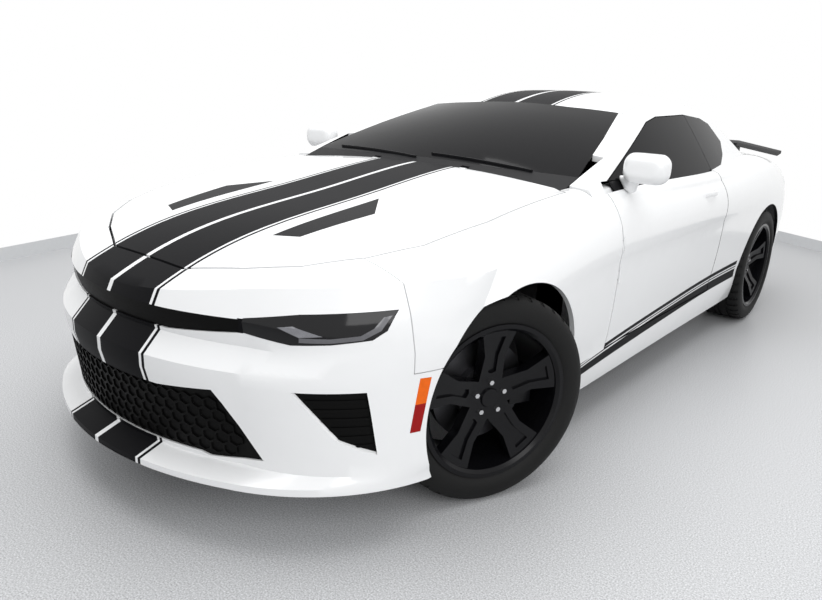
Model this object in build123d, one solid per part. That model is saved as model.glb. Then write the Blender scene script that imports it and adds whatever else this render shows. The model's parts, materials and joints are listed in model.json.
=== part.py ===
"""Two-door muscle car: body panels, glass, lamps, cabin, running gear and wheels as separate named pieces.

Millimetres. The car points along -Y, +X is its left side, Z is up and the tyres stand on Z = 0.
The origin is below the middle of the body, half way along it.
"""
from build123d import *
from math import hypot
import os

# Running gear
WHEELBASE = 2811
FRONT_AXLE_Y = -1462
REAR_AXLE_Y = FRONT_AXLE_Y + WHEELBASE
FRONT_TRACK = 1600
REAR_TRACK = 1606
FRONT_TYRE_RADIUS = 351
REAR_TYRE_RADIUS = 350
FRONT_TYRE_WIDTH = 245
REAR_TYRE_WIDTH = 275
RIM_RADIUS = 262
SPOKE_COUNT = 5
SPINDLE_RADIUS = 30
RUNNING_CLEARANCE = 0.4
DISC_RADIUS = 172
DISC_THICKNESS = 30
HUB_FACE = 30              # wheel's mounting face and hub front, outboard of its middle plane
HUB_FRONT = 66
SPOKE_CHANNEL = 9
UPRIGHT_BACK = -85
UPRIGHT_FRONT = -42
STUD_RADIUS = 12
STEER_OFFSET = 62          # steering axis inboard of the wheel's middle plane
STEER_ROOM = 12            # kept clear round the steered tyres
PARKED_STEER = 23          # degrees to the right, as the car is parked

# Body
SKIN = 18                  # fender, quarter and fascia wall
ROOF_THICKNESS = 34
LID_THICKNESS = 26
GLASS_THICKNESS = 7
SHUT_GAP = 6               # between moving panels and the body
PANEL_GAP = 3              # between fixed panels
HOOD_GAP = 8
SEAL_GAP = 4
ARCH_RADIUS = 386
DOOR_FRONT_Y = -750
DOOR_REAR_Y = 525
DOOR_BOTTOM_Z = 338
DOOR_REAR_DRAFT = 10       # degrees that the door's rear face leans in towards the cabin
DOOR_HINGE_X = 919
DOOR_HINGE_Y = DOOR_FRONT_Y + 6
HINGE_SWEEP = 16           # radius kept clear round the door's hinge axis
PILLAR_FRONT_Y = -870
COWL_HALF = 728
SHELF_HALF = 590
HOOD_HINGE = (-897, 985)   # y and z of the hood's hinge axis
DECK_HINGE = (1597, 1010)  # y and z of the decklid's hinge axis
LID_HINGE_X = 250
LID_PIN_RADIUS = 5
LID_EAR_WIDTH = 30
DOOR_PIN_RADIUS = 4
DOOR_PIN_Z = (640, 760)
DOOR_LUG_HEIGHT = 30
MIRROR_AT = (918, -615, 1042)
BELT_Z = 988               # foot of the pillars above the doors
SLOT_BOTTOM_Z = 880        # bottom of the slot that the door glass stands in
FASCIA_REAR_Y = -1786
FENDER_FRONT_Y = -1890
FASCIA_STEP_Z = 540
TAIL_SHUT_Y = 1960
TAIL_SHUT_Z = 690
TAIL_TOP_Y = 2125
LID_FLOOR_Z = 880

# Structure
FLOOR_Z = 204
FLOOR_THICKNESS = 22
FLOOR_HALF = 765           # the rockers start here
TUNNEL_HALF = 145
TUNNEL_TOP_Z = 520
FIREWALL_Y = -985
FLOOR_STEP_Y = 940         # the floor narrows here between the rear wheels
BULKHEAD_Y = 1140
BOOT_FLOOR_Z = 455
BOOT_HALF = 560
PILLAR_INNER_X = 755
ENGINE_BOTTOM_Z = 262
GEARBOX_END_Y = -330
RADIATOR_Z = (330, 690)
SUPPORT_DEPTH = 30
REAR_PANEL_Y = 2260
EXHAUST_Z = 212
PIPE_X = 98
PIPE_RADIUS = 24
EXHAUST_TIP_X = 470
EXHAUST_TIP_Z = 325
EXHAUST_TIP_RADIUS = 44
STEERING_WHEEL_AT = (370, -330, 790)
SEAT_X = 375
SEAT_WIDTH = 440
RAIL_X = (365, 440)
RAIL_Z = (340, 450)
BEAM_Y = (-2190, -2156)
WALL = 20

# Half sections of the lower body, from nose to tail
# y, then x and z of the crown, crease, shoulder, flank, lower flank and sill edge; the crown is at x = 0
BODY_STATIONS = [
    (-2440, 625, 480, 602, 800, 530, 860, 440, 850, 320, 800, 204),
    (-2150, 778, 520, 762, 820, 684, 905, 560, 905, 330, 850, 200),
    (-1800, 868, 600, 853, 842, 792, 930, 620, 925, 340, 870, 196),
    (-1462, 917, 670, 908, 850, 864, 946, 660, 930, 340, 880, 194),
    (-900, 1000, 740, 962, 855, 918, 925, 690, 905, 340, 880, 190),
    (-100, 992, 808, 966, 868, 918, 912, 700, 890, 350, 880, 196),
    (600, 990, 806, 968, 872, 925, 922, 720, 895, 370, 885, 202),
    (1349, 1010, 720, 1000, 860, 950, 946, 700, 930, 380, 880, 212),
    (1900, 1005, 640, 990, 810, 935, 905, 700, 890, 360, 840, 240),
    (2440, 985, 560, 965, 740, 900, 800, 700, 790, 380, 740, 270),
]
SECTION_BOWS = (14, 26, 6, 6)          # rise of the arcs: crease, shoulder, flank, lower flank

# Plan outlines of the nose and the tail by height: z, y at the middle, y at x = 500, corner x, corner y
NOSE_LEVELS = [
    (100, -2330, -2213, 780, -1960),
    (196, -2392, -2275, 790, -2020),
    (222, -2392, -2275, 790, -2020),
    (248, -2318, -2203, 800, -1990),
    (437, -2343, -2228, 800, -1985),
    (500, -2358, -2240, 800, -1985),
    (540, -2358, -2240, 800, -1985),
    (600, -2301, -2188, 805, -1965),
    (674, -2316, -2200, 800, -1950),
    (706, -2301, -2185, 800, -1935),
    (1100, -2100, -1990, 790, -1700),
]
TAIL_LEVELS = [
    (100, 2200, 2185, 780, 2050),
    (330, 2330, 2312, 800, 2150),
    (480, 2392, 2370, 815, 2190),
    (620, 2392, 2370, 815, 2190),
    (672, 2352, 2330, 800, 2165),
    (760, 2330, 2308, 790, 2150),
    (930, 2352, 2330, 770, 2170),
    (1100, 2370, 2348, 760, 2180),
]

# Greenhouse profiles across the car: x, then y and z of screen base, screen top, roof peak, backlight top and base
CABIN_PROFILES = [
    (0, -986, 955, -114, 1268, 300, 1336, 850, 1298, 1660, 985),
    (570, -993, 935, -56, 1240, 320, 1298, 860, 1252, 1640, 955),
    (900, -1076, 880, -100, 1170, 330, 1218, 880, 1170, 1560, 900),
]
SCREEN_BOW = 22
BACKLIGHT_BOW = 26
# Greenhouse half widths by height: z, then x at the y stations below
CABIN_SIDE_Y = (-1200, -300, 500, 1000, 1800)
CABIN_SIDES = [
    (860, 868, 888, 882, 850, 745),
    (1100, 700, 736, 728, 692, 580),
    (1400, 468, 512, 504, 468, 355),
]

LAMP_REACH = (1893, 2600)  # distances ahead of the middle of the car between which the lamps lie
HALF = 1200                # reach of cutting solids past the body
TALL = 1600


def bow(start, end, rise, axis=(0, 1, 0)):
    """An arc from start to end that rises to the left of their chord, seen along the axis."""
    start, end = Vector(*start), Vector(*end)
    side = (end - start).cross(Vector(*axis)).normalized()
    return ThreePointArc(start, (start + end) / 2 + side * rise, end)


def body_section(row, inset):
    y, crown, *pairs = row
    shares = ((0.3, 1), (0.8, 0.6), (1, 0), (1, -0.2), (1, -1))
    points = zip(pairs[::2], pairs[1::2])
    corners = [(x - inset * sx, z - inset * sz) for (x, z), (sx, sz) in zip(points, shares)]
    left = [(x, y, z) for x, z in corners]
    right = [(-x, y, z) for x, z in corners]
    edges = [ThreePointArc(right[0], (0, y, crown - inset), left[0])]
    edges += [bow(a, b, rise) for a, b, rise in zip(left, left[1:], SECTION_BOWS)]
    edges.append(Line(left[-1], right[-1]))
    edges += [bow(b, a, rise) for a, b, rise in reversed(list(zip(right, right[1:], SECTION_BOWS)))]
    return Wire(edges)


def end_outline(row, inset, ahead):
    """Plan outline of the nose (ahead = -1) or the tail (ahead = 1) at one height."""
    z, middle, shoulder, corner_x, corner_y = row
    middle, shoulder, corner_y = (v - ahead * inset for v in (middle, shoulder, corner_y))
    corner_x -= inset
    back = -ahead * 3000
    wide = (HALF, corner_y - ahead * 700, z)
    side = (corner_x + 95, corner_y - ahead * 300, z)
    bend = (corner_x, corner_y, z)
    front = (500 - inset * 0.3, shoulder, z)

    def flip(p):
        return (-p[0], p[1], p[2])

    return Wire([
        Line((-HALF, back, z), flip(wide)),
        Line(flip(wide), flip(side)),
        ThreePointArc(flip(side), flip(bend), flip(front)),
        ThreePointArc(flip(front), (0, middle, z), front),
        ThreePointArc(front, bend, side),
        Line(side, wide),
        Line(wide, (HALF, back, z)),
        Line((HALF, back, z), (-HALF, back, z)),
    ])


def span(x, y, z):
    """A block from its low and high limits along each axis."""
    low, high = zip(x, y, z)
    sizes = [b - a for a, b in zip(low, high)]
    return Pos(*low) * Box(*sizes, align=(Align.MIN, Align.MIN, Align.MIN))


def body_form(inset=0):
    form = Solid.make_loft([body_section(row, inset) for row in BODY_STATIONS], False)
    nose = Solid.make_loft([end_outline(row, inset, -1) for row in NOSE_LEVELS], True)
    tail = Solid.make_loft([end_outline(row, inset, 1) for row in TAIL_LEVELS], True)
    return form & nose & tail


def cabin_form(inset=0):
    profiles = []
    for row in CABIN_PROFILES[:0:-1] + CABIN_PROFILES:
        x, *values = row
        profiles.append((x, [(y, z) for y, z in zip(values[::2], values[1::2])]))
    count = len(CABIN_PROFILES) - 1
    wires = []
    for index, (x, points) in enumerate(profiles):
        x = -x if index < count else x
        base, top, peak, back_top, back = [(x, y, z - inset) for y, z in points]
        base = (x, base[1] + inset * 1.6, points[0][1])
        back = (x, back[1] - inset * 1.6, points[4][1])
        low = 700
        wires.append(Wire([
            bow(base, top, -SCREEN_BOW, (1, 0, 0)),
            ThreePointArc(top, peak, back_top),
            bow(back_top, back, -BACKLIGHT_BOW, (1, 0, 0)),
            Line(back, (x, back[1], low)),
            Line((x, back[1], low), (x, base[1], low)),
            Line((x, base[1], low), base),
        ]))
    along = Solid.make_loft(wires, False)
    rings = []
    for z, *widths in CABIN_SIDES:
        left = [(w - inset, y, z) for w, y in zip(widths, CABIN_SIDE_Y)]
        right = [(-x, y, z) for x, y, _ in left]
        rings.append(Wire([
            ThreePointArc(left[0], left[1], left[2]), ThreePointArc(left[2], left[3], left[4]),
            Line(left[4], right[4]),
            ThreePointArc(right[4], right[3], right[2]), ThreePointArc(right[2], right[1], right[0]),
            Line(right[0], left[0]),
        ]))
    across = Solid.make_loft(rings, False)
    return along & across


def prism(points, plane, reach, grow=0):
    """A block between two distances from the plane, with a polygon outline grown by a margin."""
    outline = Polygon(*points, align=None)
    if grow:
        outline = offset(outline, grow, kind=Kind.INTERSECTION)
    return extrude(plane.offset(reach[0]) * outline, reach[1] - reach[0], dir=plane.z_dir)


def largest(shape):
    return shape.solids().sort_by(SortBy.VOLUME)[-1]


def joined(*shapes):
    """One node of several solids."""
    return Compound([solid for shape in shapes for solid in shape.solids()])


SIDE = Plane(origin=(0, 0, 0), x_dir=(0, 1, 0), z_dir=(1, 0, 0))     # local x is Y, local y is Z
PLAN = Plane.XY
FRONT = Plane(origin=(0, 0, 0), x_dir=(1, 0, 0), z_dir=(0, -1, 0))   # local x is X, local y is Z


def both(points):
    """An outline from the points of its left half, ordered from front to back."""
    return [*points, *[(-x, y) for x, y in reversed(points)]]


def mirrored(shape):
    return mirror(shape, about=Plane.YZ)


# Outlines of the openings and panels, left half or left side
HOOD_OUTLINE = both([(200, -2185), (390, -2105), (530, -2020), (650, -1880), (722, -1720), (760, -1450),
                     (762, -960), (700, -925), (360, -908)])
HOOD_VENT_OUTLINE = [(282, -1923), (371, -1887), (412, -1600), (290, -1450)]
DECK_OUTLINE = both([(610, 1608), (650, 1760), (640, 2130), (560, 2300), (540, 2420)])
SCREEN_OUTLINE = both([(300, -122), (540, -84), (640, -430), (728, -800), (400, -850)])
BACKLIGHT_OUTLINE = both([(505, 905), (560, 1250), (585, 1560)])
ROOF_OUTLINE = both([(300, -160), (556, -120), (560, 300), (512, 940)])
DOOR_OUTLINE = [(DOOR_FRONT_Y, DOOR_BOTTOM_Z), (DOOR_FRONT_Y, 1100), (DOOR_REAR_Y, 1100),
                (DOOR_REAR_Y, DOOR_BOTTOM_Z)]
DOOR_INNER_OUTLINE = [(800, 0), (800, 700), (768, 900), (768, 1200), (HALF, 1200), (HALF, 0)]
SIDE_GLASS_OUTLINE = [(-715, 985), (-60, 1204), (90, 1228), (510, 1240), (800, 1222), (930, 1192), (1010, 1098),
                      (900, 1030), (760, 985), (525, 968)]
DOOR_GLASS_FOOT = [(-690, 985), (-660, SLOT_BOTTOM_Z), (DOOR_REAR_Y - 30, SLOT_BOTTOM_Z), (DOOR_REAR_Y - 30, 985)]
LOWER_GRILLE_OUTLINE = both([(365, 262), (395, 254), (560, 276), (437, 478), (250, 455)])
SLOT_OUTLINE = both([(250, 612), (484, 640), (490, 680), (250, 676)])
DUCT_OUTLINE = [(643, 502), (784, 501), (804, 311), (732, 358)]
LAMP_OUTLINE = [(497, 642), (620, 624), (705, 631), (780, 644), (800, 668), (806, 722), (631, 708), (497, 684)]
TAIL_LAMP_OUTLINE = [(330, 765), (690, 765), (690, 868), (330, 868)]
MARKER_OUTLINE = [(-1898, 362), (-1866, 362), (-1836, 522), (-1872, 524)]


def lid_bores(hinge):
    """Holes along a lid's hinge axis, through its two ears."""
    radius = LID_PIN_RADIUS + RUNNING_CLEARANCE
    bore = Pos(LID_HINGE_X, *hinge) * Rot(0, 90, 0) * Cylinder(radius, LID_EAR_WIDTH + 4)
    return [bore, mirrored(bore)]


def lid_ears(hinge, reach):
    """Ears that join a lid's edge to its hinge axis."""
    y, z = hinge
    left = (LID_HINGE_X - LID_EAR_WIDTH / 2, LID_HINGE_X + LID_EAR_WIDTH / 2)
    ear = Pos(LID_HINGE_X, y, z) * Rot(0, 90, 0) * Cylinder(LID_PIN_RADIUS + 5, LID_EAR_WIDTH)
    ear += span(left, sorted((y, y + reach)), (z - LID_PIN_RADIUS - 5, z))
    return [ear, mirrored(ear)]


def lid_pins(panel, hinge, behind):
    """The fixed panel beside a lid, notched for the lid's ears, with a pin across each notch on two lugs."""
    y, z = hinge
    room = LID_EAR_WIDTH / 2 + 6
    notch = span((LID_HINGE_X - room, LID_HINGE_X + room), (y - 22, y + 22), (z - 24, z + 40))
    pin = Pos(LID_HINGE_X, y, z) * Rot(0, 90, 0) * Cylinder(LID_PIN_RADIUS, 2 * room + 24)
    depth = (y - LID_PIN_RADIUS, y + 20) if behind else (y - 20, y + LID_PIN_RADIUS)
    lug = span((LID_HINGE_X + room, LID_HINGE_X + room + 10), depth, (z - 20, z))
    other = Pos(-2 * room - 10, 0, 0) * lug
    for shape in (notch, mirrored(notch)):
        panel -= shape
    hinge_parts = pin + lug + other
    return largest(panel + hinge_parts + mirrored(hinge_parts))


def door_notches():
    """Room in the door for the hinge pins and the lugs that carry them."""
    notches = []
    for z in DOOR_PIN_Z:
        half = DOOR_LUG_HEIGHT / 2 + 5
        notches.append(span((DOOR_HINGE_X - 50, DOOR_HINGE_X + DOOR_PIN_RADIUS + 1),
                            (DOOR_FRONT_Y - 1, DOOR_HINGE_Y + DOOR_PIN_RADIUS + 2), (z - half, z + half)))
        bore = Cylinder(DOOR_PIN_RADIUS + RUNNING_CLEARANCE, 2 * half + 24)
        notches.append(Pos(DOOR_HINGE_X, DOOR_HINGE_Y, z) * bore)
    return notches


def door_lugs():
    """Hinge pins on lugs that stand out of the hinge pillar."""
    lugs = []
    for z in DOOR_PIN_Z:
        bar = Pos(DOOR_HINGE_X, DOOR_HINGE_Y, z) * Rot(0, 0, 205) * Pos(30, 0, 0) * Box(60, 7, DOOR_LUG_HEIGHT)
        lugs.append(bar + Pos(DOOR_HINGE_X, DOOR_HINGE_Y, z) * Cylinder(DOOR_PIN_RADIUS, DOOR_LUG_HEIGHT + 28))
    return lugs


def build_body():
    """Every outer panel and pane, cut from the lower body and the greenhouse."""
    panels = {}
    fixed = PANEL_GAP / 2
    low = body_form()
    inner = body_form(SKIN)
    low_skin = low - inner
    left = span((0, HALF), (-3000, 3000), (-100, TALL))
    left_skin = low_skin & left
    left_low = low & left
    cabin = cabin_form()
    cabin_wall = cabin - cabin_form(ROOF_THICKNESS)
    cabin_glass = cabin - cabin_form(GLASS_THICKNESS)
    glass_slot = cabin_form(-SEAL_GAP) - cabin_form(GLASS_THICKNESS + SEAL_GAP)
    screen_cut = prism(SCREEN_OUTLINE, PLAN, (700, TALL))
    backlight_cut = prism(BACKLIGHT_OUTLINE, PLAN, (700, TALL))
    arches = [
        Pos(0, y, r) * Rot(0, 90, 0) * Cylinder(ARCH_RADIUS, 2 * HALF)
        for y, r in ((FRONT_AXLE_Y, FRONT_TYRE_RADIUS), (REAR_AXLE_Y, REAR_TYRE_RADIUS))
    ]

    steered_reach = hypot(FRONT_TYRE_RADIUS, STEER_OFFSET + FRONT_TYRE_WIDTH / 2) + STEER_ROOM
    steered_wheel = Pos(FRONT_TRACK / 2 - STEER_OFFSET, FRONT_AXLE_Y, FRONT_TYRE_RADIUS) * Sphere(steered_reach)

    def hood_prism(grow):
        return prism(HOOD_OUTLINE, PLAN, (600, 1200), grow)

    def deck_prism(grow):
        return prism(DECK_OUTLINE, PLAN, (LID_FLOOR_Z - grow, 1200), grow)

    def fascia_prism(grow):
        outline = [(-2600, 0), (FASCIA_REAR_Y, 0), (FASCIA_REAR_Y, FASCIA_STEP_Z), (FENDER_FRONT_Y, FASCIA_STEP_Z),
                   (FENDER_FRONT_Y, 1200), (-2600, 1200)]
        return prism(outline, SIDE, (-HALF, HALF), grow)

    def tail_prism(grow):
        outline = [(2600, 0), (TAIL_SHUT_Y - 220, 0), (TAIL_SHUT_Y - 220, 420), (TAIL_SHUT_Y, TAIL_SHUT_Z),
                   (TAIL_TOP_Y, TAIL_SHUT_Z), (TAIL_TOP_Y, 1200), (2600, 1200)]
        return prism(outline, SIDE, (-HALF, HALF), grow)

    # Lids
    lid_skin = low - body_form(LID_THICKNESS)
    hood = largest(lid_skin & hood_prism(-HOOD_GAP / 2))
    vent_cut = prism(HOOD_VENT_OUTLINE, PLAN, (600, 1200))
    vent = largest(hood & prism(HOOD_VENT_OUTLINE, PLAN, (600, 1200), -0.5))
    panels["hood"] = largest(hood - vent_cut - mirrored(vent_cut) + lid_ears(HOOD_HINGE, -34) - lid_bores(HOOD_HINGE))
    panels["hood_vents"] = joined(vent, mirrored(vent))
    decklid = largest(lid_skin & deck_prism(-SHUT_GAP / 2))
    panels["decklid"] = largest(decklid + lid_ears(DECK_HINGE, 34) - lid_bores(DECK_HINGE))

    # Nose
    nose = low_skin & fascia_prism(-fixed)
    nose = nose - hood_prism(HOOD_GAP / 2) - arches[0]
    fascia = nose
    for outline in (LOWER_GRILLE_OUTLINE, SLOT_OUTLINE):
        fascia -= prism(outline, FRONT, (1900, 2600))
    side_cuts = [prism(DUCT_OUTLINE, FRONT, (1700, 2600)), prism(LAMP_OUTLINE, FRONT, LAMP_REACH),
                 prism(MARKER_OUTLINE, SIDE, (600, HALF))]
    for cut in side_cuts:
        fascia = fascia - cut - mirrored(cut)
    for x in (200, -200):
        fascia += span((x - 30, x + 30), (-2150, -2090), (206, RADIATOR_Z[0] - SUPPORT_DEPTH))
    panels["front_fascia"] = largest(fascia)
    left_nose = left_skin & fascia_prism(-fixed)
    lamp = largest(left_nose & prism(LAMP_OUTLINE, FRONT, LAMP_REACH, -1))
    panels["headlamps"] = joined(lamp, mirrored(lamp))
    marker = largest(left_nose & prism(MARKER_OUTLINE, SIDE, (600, HALF), -0.5))
    panels["side_markers"] = joined(marker, mirrored(marker))
    grille_skin = body_form(6) - body_form(SKIN + 10)
    grille = largest(grille_skin & prism(LOWER_GRILLE_OUTLINE, FRONT, (1900, 2600), -0.5))
    panels["upper_grille"] = largest(grille_skin & prism(SLOT_OUTLINE, FRONT, (1900, 2600), -0.5))
    duct = largest(grille_skin & left & prism(DUCT_OUTLINE, FRONT, (1700, 2600), -0.5))
    panels["lower_grille"] = grille
    panels["side_ducts"] = joined(duct, mirrored(duct))

    # Front fender
    fender = left_skin & span((560, HALF), (-2300, DOOR_FRONT_Y - SHUT_GAP), (DOOR_BOTTOM_Z - SHUT_GAP, 1100))
    fender = fender - hood_prism(HOOD_GAP / 2) - fascia_prism(fixed) - arches[0]
    fender -= span((0, COWL_HALF + PANEL_GAP), (HOOD_OUTLINE[6][1], 0), (0, TALL))
    fender -= cabin_form(-SEAL_GAP) & span((0, HALF), (PILLAR_FRONT_Y - 6, 0), (0, TALL))
    fender -= Pos(DOOR_HINGE_X, DOOR_HINGE_Y, 600) * Cylinder(HINGE_SWEEP, TALL)
    panels["fender_left"] = largest(fender - steered_wheel)

    # Door and side glass
    door = left_low & prism(DOOR_OUTLINE, SIDE, (0, HALF)) & prism(DOOR_INNER_OUTLINE, FRONT, (-2000, 2000))
    lean = Pos(960, DOOR_REAR_Y, 600) * Rot(0, 0, -DOOR_REAR_DRAFT) * Pos(-200, 100, 0) * Box(400, 200, 1200)
    door = door - lean - (glass_slot & span((0, HALF), (-1500, 1500), (SLOT_BOTTOM_Z, TALL)))
    panels["door_left"] = largest(door - door_notches())
    side_glass = cabin_glass & left
    door_glass = side_glass & prism(SIDE_GLASS_OUTLINE, SIDE, (0, HALF), -SEAL_GAP)
    door_glass &= span((0, HALF), (-2000, DOOR_REAR_Y - SHUT_GAP / 2), (0, TALL))
    door_glass = largest(door_glass) + largest(side_glass & prism(DOOR_GLASS_FOOT, SIDE, (0, HALF)))
    panels["door_glass_left"] = largest(door_glass)
    quarter = side_glass & prism(SIDE_GLASS_OUTLINE, SIDE, (0, HALF), -0.5)
    quarter = largest(quarter & span((0, HALF), (DOOR_REAR_Y + SHUT_GAP / 2, 2000), (0, TALL)))
    panels["quarter_glass"] = joined(quarter, mirrored(quarter))

    # Roof and screens
    panels["windshield"] = largest(
        cabin_glass & prism(SCREEN_OUTLINE, PLAN, (900, TALL), -0.5) & span((-HALF, HALF), (-2000, 300), (960, TALL)))
    panels["rear_window"] = largest(cabin_glass & prism(BACKLIGHT_OUTLINE, PLAN, (900, TALL), -0.5))
    roof = cabin_wall & prism(ROOF_OUTLINE, PLAN, (1100, TALL), -fixed)
    panels["roof"] = largest(roof - screen_cut - backlight_cut)

    # Body side: pillars, roof rail, quarter panel, rocker and hinge pillar
    side = cabin_wall & span((0, HALF), (PILLAR_FRONT_Y, 1800), (SLOT_BOTTOM_Z, TALL))
    side = side - prism(ROOF_OUTLINE, PLAN, (1100, TALL), fixed) - screen_cut - backlight_cut
    side -= prism(SIDE_GLASS_OUTLINE, SIDE, (0, HALF))
    side -= span((0, HALF), (DOOR_FRONT_Y - SHUT_GAP, DOOR_REAR_Y + SHUT_GAP), (0, BELT_Z))
    side -= span((0, COWL_HALF + PANEL_GAP), (-2000, -600), (0, TALL))
    side -= span((0, SHELF_HALF + PANEL_GAP), (1300, 2000), (0, TALL))
    side -= deck_prism(SHUT_GAP / 2)
    quarter_panel = left_skin & span((0, HALF), (DOOR_REAR_Y + SHUT_GAP, 3000), (0, TALL))
    quarter_panel = quarter_panel - deck_prism(SHUT_GAP / 2) - tail_prism(fixed) - arches[1]
    quarter_panel -= span((0, FLOOR_HALF), (-1000, 3000), (0, LID_FLOOR_Z - 100))
    quarter_panel -= span((0, SHELF_HALF + PANEL_GAP), (1300, DECK_OUTLINE[0][1] + SHUT_GAP), (0, TALL))
    quarter_panel -= glass_slot & prism(SIDE_GLASS_OUTLINE, SIDE, (0, HALF))
    quarter_panel -= cabin_form(ROOF_THICKNESS)
    rocker = left_low & span((FLOOR_HALF, HALF), (FRONT_AXLE_Y, REAR_AXLE_Y), (0, DOOR_BOTTOM_Z - SHUT_GAP))
    rocker = rocker - arches[0] - arches[1]
    pillar = span((PILLAR_INNER_X, 880), (PILLAR_FRONT_Y, DOOR_FRONT_Y - SHUT_GAP),
                  (FLOOR_Z + FLOOR_THICKNESS, 925)) & body_form(SKIN + PANEL_GAP)
    post = span((FLOOR_HALF, HALF), (DOOR_REAR_Y + SHUT_GAP, DOOR_REAR_Y + 50), (FLOOR_Z, 960)) & body_form(SKIN / 2)
    sweep = Pos(DOOR_HINGE_X, DOOR_HINGE_Y, 600) * Cylinder(HINGE_SWEEP, TALL)
    body_side = side + quarter_panel + rocker + pillar + post
    panels["body_side_left"] = largest(body_side - sweep - steered_wheel + door_lugs())

    # Tail
    tail = low_skin & tail_prism(-fixed)
    tail -= deck_prism(SHUT_GAP / 2)
    tail -= span((-HALF, HALF), (0, TAIL_LEVELS[2][1] - 70), (0, 330))
    lamp_cut = prism(TAIL_LAMP_OUTLINE, FRONT, (-2600, -2000))
    lamp = largest(tail & prism(TAIL_LAMP_OUTLINE, FRONT, (-2600, -2000), -0.5))
    panels["tail_lamps"] = joined(lamp, mirrored(lamp))
    tail = tail - lamp_cut - mirrored(lamp_cut)
    for x in (EXHAUST_TIP_X, -EXHAUST_TIP_X):
        tail -= Pos(x, 2300, EXHAUST_TIP_Z) * Rot(90, 0, 0) * Cylinder(EXHAUST_TIP_RADIUS + 8, 400)
    tail += span((-300, 300), (REAR_PANEL_Y, TAIL_LEVELS[3][1] - 10), (560, 580))
    panels["rear_fascia"] = largest(tail)
    shelf = cabin_wall & span((-SHELF_HALF, SHELF_HALF), (1300, 1800), (930, TALL)) - backlight_cut
    panels["deck_panel"] = lid_pins(largest(shelf - deck_prism(SHUT_GAP / 2)), DECK_HINGE, False)

    # Cowl, mirror and spoiler
    cowl = cabin_wall & span((-COWL_HALF, COWL_HALF), (PILLAR_FRONT_Y - 90, -600), (900, TALL)) - screen_cut
    panels["cowl"] = lid_pins(largest(cowl - hood_prism(HOOD_GAP)), HOOD_HINGE, True)
    housing = Pos(*MIRROR_AT) * Rot(0, 0, -8) * chamfer(Box(180, 104, 116).edges(), 24)
    stem = span((800, MIRROR_AT[0] - 40), (MIRROR_AT[1], MIRROR_AT[1] + 45), (940, MIRROR_AT[2] - 36))
    mirror_form = (housing + stem) - low - cabin_form(-SEAL_GAP)
    panels["mirror_left"] = largest(mirror_form)
    blade_rows = ((-730, 988, 2170), (-430, 1040, 2140), (430, 1040, 2140), (730, 988, 2170))
    blade = Solid.make_loft([Wire.make_polygon([(x, y, z - 4), (x, y + 90, z + 14), (x, 2352, z + 20), (x, 2352, z),
                                                (x, y + 80, z - 14)]) for x, z, y in blade_rows], True)
    legs = [span((x - 30, x + 30), (2170, 2300), (900, 1045)) for x in (-430, 430)]
    panels["spoiler"] = largest(blade + legs - low)
    return panels


def wheel_set(tyre_radius, tyre_width):
    """Wheel, tyre and brake disc about the X axis, with their middle plane at x = 0 and the street at +X."""
    half_rim = tyre_width / 2 - 9
    seat = RIM_RADIUS - 12
    flange = 7
    bore = SPINDLE_RADIUS + RUNNING_CLEARANCE
    axis_plane = Plane(origin=(0, 0, 0), x_dir=(1, 0, 0), z_dir=(0, -1, 0))

    def turned(points):
        return revolve(axis_plane * Polygon(*points, align=None), Axis.X)

    rim = turned([
        (-half_rim, RIM_RADIUS), (flange - half_rim, RIM_RADIUS), (flange - half_rim, seat),
        (half_rim - flange, seat), (half_rim - flange, RIM_RADIUS), (half_rim, RIM_RADIUS), (half_rim, seat - 2),
        (half_rim - 10, seat - 12), (-half_rim, seat - 12)])
    face = half_rim - 14

    def dish(depth):
        return turned([(HUB_FACE, 0), (HUB_FACE, 92), (face - 40, seat - 6), (face - depth, seat - 6),
                       (HUB_FRONT - depth, 70), (HUB_FRONT - depth, 0)])

    arm = [(0, 40), (44, 60), (38, 150), (56, seat - 40), (66, seat - 8), (0, seat - 8)]
    channel = [(0, 84), (15, 90), (12, 150), (26, seat - 34), (0, seat - 34)]
    spoke_plane = Plane(origin=(0, 0, 0), x_dir=(0, 1, 0), z_dir=(1, 0, 0))
    spokes = Rot(0, 90, 0) * Pos(0, 0, 60) * Cylinder(74, 120)
    channels = []
    for index in range(SPOKE_COUNT):
        turn = Rot(360 * index / SPOKE_COUNT, 0, 0)
        spokes += turn * extrude(spoke_plane * Polygon(*both(arm), align=None), 160, dir=(1, 0, 0))
        channels.append(turn * extrude(spoke_plane * Polygon(*both(channel), align=None), 160, dir=(1, 0, 0)))
    spokes &= dish(0)
    spokes -= [channel_block - dish(SPOKE_CHANNEL) for channel_block in channels]
    wheel = rim + spokes
    wheel -= Rot(0, 90, 0) * Pos(0, 0, HUB_FRONT / 2 - 8) * Cylinder(bore, HUB_FRONT)
    half_tread = tyre_width / 2
    bead = half_rim - flange - RUNNING_CLEARANCE
    foot = seat + RUNNING_CLEARANCE
    outer = [(bead, foot), (bead, foot + 14), (half_tread - 3, 282), (half_tread, 304), (half_tread - 4, 326),
             (half_tread - 13, tyre_radius - 13), (half_tread - 32, tyre_radius - 3), (half_tread - 70, tyre_radius)]
    inner = [(half_tread - 30, tyre_radius - 20), (half_tread - 14, 296), (bead - 16, foot)]
    tyre = turned(outer + [(-x, r) for x, r in reversed(outer)] + [(-x, r) for x, r in reversed(inner)] + inner)
    disc = turned([(-28, 85), (-28, DISC_RADIUS), (2, DISC_RADIUS), (2, 95), (HUB_FACE, 95), (HUB_FACE, bore),
                   (20, bore), (20, 85)])
    return {"wheel": wheel, "tyre": tyre, "brake_disc": disc}


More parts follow.
